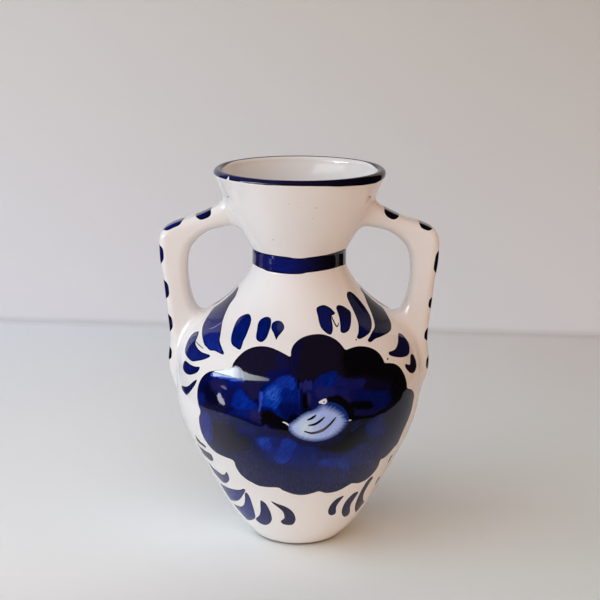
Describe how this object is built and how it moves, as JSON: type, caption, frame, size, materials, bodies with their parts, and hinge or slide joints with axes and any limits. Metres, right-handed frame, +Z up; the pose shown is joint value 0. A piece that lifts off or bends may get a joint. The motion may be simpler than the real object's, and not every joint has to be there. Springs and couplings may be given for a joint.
{
  "type": "amphora vase",
  "caption": "Amphora vase of glazed earthenware with a round belly, narrow neck, flared mouth, ear-shaped handles and blue bands at the rim and neck.",
  "frame": {"origin": "middle of the ring that the vase stands on, at the table", "axes": "+Z up along the axis of the vase, +X through the right handle, -Y to the front with the painted flower"},
  "size_m": [0.1324, 0.1182, 0.18],
  "materials": {
    "white_glaze": "clear glossy glaze over warm white slip",
    "blue_enamel": "cobalt brushwork under a glossy glaze",
    "foot_clay": "wiped foot, pale fired clay on the ring it stands on"
  },
  "bodies": {
    "root": {"foot": "foot_clay", "belly": "white_glaze", "neck_collar": "white_glaze", "mouth": "white_glaze", "rim_enamel": "blue_enamel", "neck_enamel": "blue_enamel", "handle_right": "white_glaze", "handle_left": "white_glaze"}
  },
  "joints": []
}
